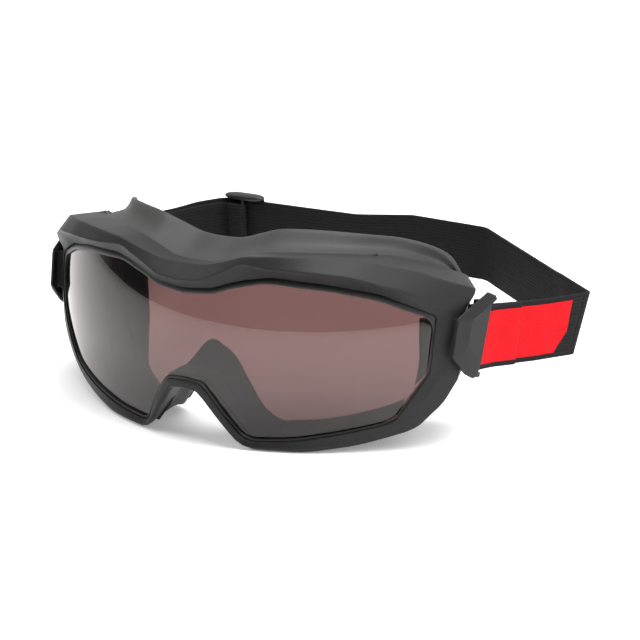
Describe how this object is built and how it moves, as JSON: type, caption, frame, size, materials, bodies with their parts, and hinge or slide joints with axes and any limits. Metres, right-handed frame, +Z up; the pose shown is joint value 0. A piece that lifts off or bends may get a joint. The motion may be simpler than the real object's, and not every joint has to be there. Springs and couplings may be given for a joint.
{
  "type": "welding goggles",
  "caption": "Wrap-around welding goggles with one tinted curved lens, a moulded frame with a soft face seal, hinged side clips and an elastic head strap.",
  "frame": {"origin": "bridge of the nose, on the symmetry plane of the frame, 24 mm behind the foremost point of the lens", "axes": "+X towards the wearer's left, -Y forward out of the lens, +Z up"},
  "size_m": [0.1977, 0.1686, 0.0705],
  "materials": {
    "frame_plastic": "matt charcoal moulded plastic",
    "carrier_plastic": "matt black moulded plastic",
    "lens_tint": "polished rose-brown tinted polycarbonate",
    "gasket_rubber": "black rubber",
    "soft_seal": "soft matt charcoal elastomer",
    "nose_rubber": "soft matt black elastomer",
    "foam": "open-cell black foam",
    "clip_plastic": "matt charcoal moulded plastic",
    "pin_steel": "plain steel",
    "webbing": "black elastic webbing",
    "slider_plastic": "matt black moulded plastic",
    "panel_fabric": "bright red woven facing"
  },
  "bodies": {
    "root": {"front_frame": "frame_plastic", "rear_frame": "carrier_plastic", "lens": "lens_tint", "lens_gasket": "gasket_rubber", "face_seal": "soft_seal", "nose_pad": "nose_rubber", "vent_foam_right": "foam", "vent_foam_left": "foam", "clip_pin_right": "pin_steel", "clip_pin_left": "pin_steel", "strap_band": "webbing", "strap_return": "webbing", "side_panel": "panel_fabric"},
    "clip_right": {"clip_right": "clip_plastic", "strap_loop_right": "webbing", "side_panel_loop": "panel_fabric"},
    "clip_left": {"clip_left": "clip_plastic", "strap_loop_left": "webbing"},
    "slider": {"slider": "slider_plastic", "slider_tail": "webbing"}
  },
  "joints": [
    {"name": "clip_right_hinge", "type": "hinge", "parent": "root", "child": "clip_right", "pos_m": [0.07896, 0.01589, 0.01098], "axis": [-0.0284, -0.2317, -0.9724], "range_deg": [-8, 15]},
    {"name": "clip_left_hinge", "type": "hinge", "parent": "root", "child": "clip_left", "pos_m": [-0.07896, 0.01589, 0.01098], "axis": [-0.0284, 0.2317, 0.9724], "range_deg": [-8, 15]},
    {"name": "slider_slide", "type": "slide", "parent": "root", "child": "slider", "axis": [0.9993, 0.0368, 0], "range_m": [0, 0.04]}
  ]
}
